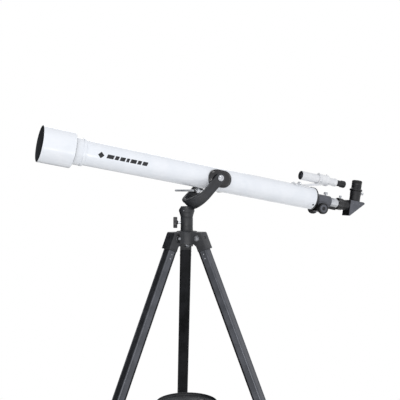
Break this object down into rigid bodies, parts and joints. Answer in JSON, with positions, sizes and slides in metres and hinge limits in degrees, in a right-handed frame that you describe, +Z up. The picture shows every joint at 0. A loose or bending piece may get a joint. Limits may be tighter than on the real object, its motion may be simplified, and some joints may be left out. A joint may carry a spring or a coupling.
{
  "type": "refracting telescope on tripod",
  "caption": "Long white refracting telescope on a fork mount and a black folding tripod, with finder, rack focuser, diagonal, eyepiece and accessory tray.",
  "frame": {"origin": "middle of the whole object at floor level", "axes": "+Z up; the tube points along -X and tilts up about ten degrees; the altitude axis runs along Y; the diagonal and eyepiece are at +X"},
  "size_m": [1.0497, 0.7976, 1.2726],
  "materials": {
    "charcoal_abs": "satin moulded",
    "black_abs": "gloss moulded",
    "focuser_grey": "satin moulded",
    "black_anodised_aluminium": "black anodised",
    "white_enamel": "gloss enamel",
    "chrome_plate": "polished",
    "zinc_steel": "zinc plated",
    "black_rubber": "matt",
    "coated_glass": "coated",
    "mirror_coat": "polished"
  },
  "bodies": {
    "root": {"hub_casting": "charcoal_abs", "hinge_bolt_left": "zinc_steel", "hinge_bolt_right": "zinc_steel", "hinge_bolt_rear": "zinc_steel"},
    "azimuth_knob": {"azimuth_knob": "black_abs"},
    "fork": {"fork": "charcoal_abs", "stem_screw": "zinc_steel"},
    "stay_clamp": {"stay_clamp": "charcoal_abs"},
    "stay_screw": {"stay_screw": "chrome_plate"},
    "telescope_tube": {"main_tube": "white_enamel", "lens_cell": "white_enamel", "objective_lens": "coated_glass", "saddle_near": "black_abs", "saddle_far": "black_abs", "pivot_bolt_near": "zinc_steel", "pivot_bolt_far": "zinc_steel", "stay_lug": "charcoal_abs", "focuser_body": "focuser_grey", "finder_bracket": "white_enamel", "finder_tube": "white_enamel"},
    "dew_shield": {"dew_shield": "white_enamel"},
    "stay_rod": {"stay_rod": "chrome_plate"},
    "focus_lock_screw": {"focus_lock_screw": "black_abs"},
    "drawtube": {"drawtube": "chrome_plate", "drawtube_collar": "black_abs"},
    "focus_pinion": {"focus_shaft": "chrome_plate", "focus_knob": "black_abs"},
    "collar_screw": {"collar_screw": "chrome_plate"},
    "diagonal": {"diagonal_body": "black_abs", "diagonal_mirror": "mirror_coat"},
    "socket_screw": {"socket_screw": "chrome_plate"},
    "eyepiece": {"eyepiece_body": "black_abs", "eyecup": "black_rubber"},
    "finder_nut_near": {"finder_nut_near": "chrome_plate"},
    "finder_nut_far": {"finder_nut_far": "chrome_plate"},
    "finder_eyepiece": {"finder_eyepiece": "black_abs"},
    "spreader": {"spreader": "charcoal_abs", "accessory_tray": "charcoal_abs"},
    "tray_screw": {"tray_screw": "black_abs"},
    "leg_left": {"leg_bracket_left": "charcoal_abs", "upper_leg_left": "black_anodised_aluminium", "clamp_collar_left": "charcoal_abs"},
    "extension_left": {"lower_leg_left": "black_anodised_aluminium", "foot_left": "black_rubber"},
    "leg_knob_left": {"leg_knob_left": "black_abs"},
    "brace_left": {"brace_left": "black_anodised_aluminium"},
    "leg_right": {"leg_bracket_right": "charcoal_abs", "upper_leg_right": "black_anodised_aluminium", "clamp_collar_right": "charcoal_abs"},
    "extension_right": {"lower_leg_right": "black_anodised_aluminium", "foot_right": "black_rubber"},
    "leg_knob_right": {"leg_knob_right": "black_abs"},
    "brace_right": {"brace_right": "black_anodised_aluminium"},
    "leg_rear": {"leg_bracket_rear": "charcoal_abs", "upper_leg_rear": "black_anodised_aluminium", "clamp_collar_rear": "charcoal_abs"},
    "extension_rear": {"lower_leg_rear": "black_anodised_aluminium", "foot_rear": "black_rubber"},
    "leg_knob_rear": {"leg_knob_rear": "black_abs"},
    "brace_rear": {"brace_rear": "black_anodised_aluminium"}
  },
  "joints": [
    {"name": "azimuth_turn", "type": "hinge", "parent": "root", "child": "fork", "pos_m": [-0.07047, -0.03759, 0.98], "axis": [0, 0, 1], "continuous": true},
    {"name": "azimuth_knob_turn", "type": "hinge", "parent": "root", "child": "azimuth_knob", "pos_m": [-0.07047, -0.03759, 1.022], "axis": [-0.9272, 0.3746, 0], "continuous": true},
    {"name": "altitude_tilt", "type": "hinge", "parent": "fork", "child": "telescope_tube", "pos_m": [0.00853, -0.03759, 1.1438], "axis": [0, 1, 0], "range_deg": [-9, 50]},
    {"name": "stay_clamp_swivel", "type": "hinge", "parent": "fork", "child": "stay_clamp", "pos_m": [-0.02647, -0.03759, 1.1103], "axis": [0, 1, 0], "range_deg": [-5, 26]},
    {"name": "stay_screw_turn", "type": "hinge", "parent": "stay_clamp", "child": "stay_screw", "pos_m": [-0.02647, -0.03759, 1.1103], "axis": [0, 1, 0], "continuous": true},
    {"name": "stay_rod_swing", "type": "hinge", "parent": "telescope_tube", "child": "stay_rod", "pos_m": [0.04353, -0.00359, 1.1103], "axis": [0, 1, 0], "range_deg": [-26, 5]},
    {"name": "dew_shield_pull", "type": "slide", "parent": "telescope_tube", "child": "dew_shield", "axis": [-0.9855, 0, 0.1697], "range_m": [0, 0.04]},
    {"name": "focus_lock_turn", "type": "hinge", "parent": "telescope_tube", "child": "focus_lock_screw", "pos_m": [0.38598, -0.03759, 1.07881], "axis": [0.1697, 0, 0.9855], "continuous": true},
    {"name": "drawtube_travel", "type": "slide", "parent": "telescope_tube", "child": "drawtube", "axis": [0.9855, 0, -0.1697], "range_m": [-0.026, 0.026]},
    {"name": "focus_knob_turn", "type": "hinge", "parent": "telescope_tube", "child": "focus_pinion", "pos_m": [0.36087, -0.03759, 1.05675], "axis": [0, 1, 0], "range_deg": [-330, 330]},
    {"name": "collar_screw_turn", "type": "hinge", "parent": "drawtube", "child": "collar_screw", "pos_m": [0.44018, -0.03759, 1.06947], "axis": [0.1697, 0, 0.9855], "continuous": true},
    {"name": "diagonal_turn", "type": "hinge", "parent": "drawtube", "child": "diagonal", "pos_m": [0.00853, -0.03759, 1.1438], "axis": [-0.9855, 0, 0.1697], "continuous": true},
    {"name": "socket_screw_turn", "type": "hinge", "parent": "diagonal", "child": "socket_screw", "pos_m": [0.50135, -0.03759, 1.10359], "axis": [0.9006, -0.4061, -0.1551], "continuous": true},
    {"name": "eyepiece_pull", "type": "slide", "parent": "diagonal", "child": "eyepiece", "axis": [0.1697, 0, 0.9855], "range_m": [0, 0.03]},
    {"name": "finder_nut_near_turn", "type": "hinge", "parent": "telescope_tube", "child": "finder_nut_near", "pos_m": [0.27856, -0.03759, 1.0973], "axis": [0.1538, -0.4226, 0.8932], "continuous": true},
    {"name": "finder_nut_far_turn", "type": "hinge", "parent": "telescope_tube", "child": "finder_nut_far", "pos_m": [0.27856, -0.03759, 1.0973], "axis": [0.1538, 0.4226, 0.8932], "continuous": true},
    {"name": "finder_focus_turn", "type": "hinge", "parent": "telescope_tube", "child": "finder_eyepiece", "pos_m": [0.01905, -0.03759, 1.2049], "axis": [-0.9855, 0, 0.1697], "continuous": true},
    {"name": "leg_fold_left", "type": "hinge", "parent": "root", "child": "leg_left", "pos_m": [-0.10986, -0.04454, 0.98], "axis": [0.1736, -0.9848, 0], "range_deg": [0, 8]},
    {"name": "brace_swing_left", "type": "hinge", "parent": "leg_left", "child": "brace_left", "pos_m": [-0.31136, -0.08006, 0.41536], "axis": [0.1736, -0.9848, 0], "range_deg": [-1, 29]},
    {"name": "leg_extend_left", "type": "slide", "parent": "leg_left", "child": "extension_left", "axis": [0.3753, 0.0662, 0.9245], "range_m": [0, 0.36]},
    {"name": "leg_knob_turn_left", "type": "hinge", "parent": "leg_left", "child": "leg_knob_left", "pos_m": [-0.34854, -0.08662, 0.39199], "axis": [-0.9105, -0.1605, 0.3811], "continuous": true},
    {"name": "leg_fold_right", "type": "hinge", "parent": "root", "child": "leg_right", "pos_m": [-0.04476, -0.06823, 0.98], "axis": [0.766, 0.6428, 0], "range_deg": [0, 8.5]},
    {"name": "brace_swing_right", "type": "hinge", "parent": "leg_right", "child": "brace_right", "pos_m": [0.08676, -0.22497, 0.41536], "axis": [0.766, 0.6428, 0], "range_deg": [-1, 29]},
    {"name": "leg_extend_right", "type": "slide", "parent": "leg_right", "child": "extension_right", "axis": [-0.2449, 0.2919, 0.9245], "range_m": [0, 0.36]},
    {"name": "leg_knob_turn_right", "type": "hinge", "parent": "leg_right", "child": "leg_knob_right", "pos_m": [0.11103, -0.25389, 0.39199], "axis": [0.5943, -0.7082, 0.3811], "continuous": true},
    {"name": "leg_fold_rear", "type": "hinge", "parent": "root", "child": "leg_rear", "pos_m": [-0.05679, 0, 0.98], "axis": [-0.9397, 0.342, 0], "range_deg": [0, 8.5]},
    {"name": "brace_swing_rear", "type": "hinge", "parent": "leg_rear", "child": "brace_rear", "pos_m": [0.01319, 0.19226, 0.41536], "axis": [-0.9397, 0.342, 0], "range_deg": [-1, 29]},
    {"name": "leg_extend_rear", "type": "slide", "parent": "leg_rear", "child": "extension_rear", "axis": [-0.1303, -0.3581, 0.9245], "range_m": [0, 0.36]},
    {"name": "leg_knob_turn_rear", "type": "hinge", "parent": "leg_rear", "child": "leg_knob_rear", "pos_m": [0.0261, 0.22774, 0.39199], "axis": [0.3162, 0.8688, 0.3811], "continuous": true},
    {"name": "spreader_rise", "type": "slide", "parent": "root", "child": "spreader", "axis": [0, 0, 1], "range_m": [-0.002, 0.0885]},
    {"name": "tray_screw_turn", "type": "hinge", "parent": "spreader", "child": "tray_screw", "pos_m": [-0.07047, -0.03759, 0.49493], "axis": [0, 0, 1], "continuous": true}
  ],
  "couplings": [
    {"joint": "stay_clamp_swivel", "follows": "altitude_tilt", "ratio": 0.5},
    {"joint": "stay_rod_swing", "follows": "altitude_tilt", "ratio": -0.5},
    {"joint": "focus_knob_turn", "follows": "drawtube_travel", "rad_per_m": 212.77},
    {"joint": "leg_fold_right", "follows": "leg_fold_left", "ratio": 1},
    {"joint": "leg_fold_rear", "follows": "leg_fold_left", "ratio": 1},
    {"joint": "spreader_rise", "follows": "leg_fold_left", "m_per_rad": 0.605},
    {"joint": "brace_swing_left", "follows": "leg_fold_left", "ratio": 3.42},
    {"joint": "brace_swing_right", "follows": "leg_fold_left", "ratio": 3.42},
    {"joint": "brace_swing_rear", "follows": "leg_fold_left", "ratio": 3.42}
  ]
}
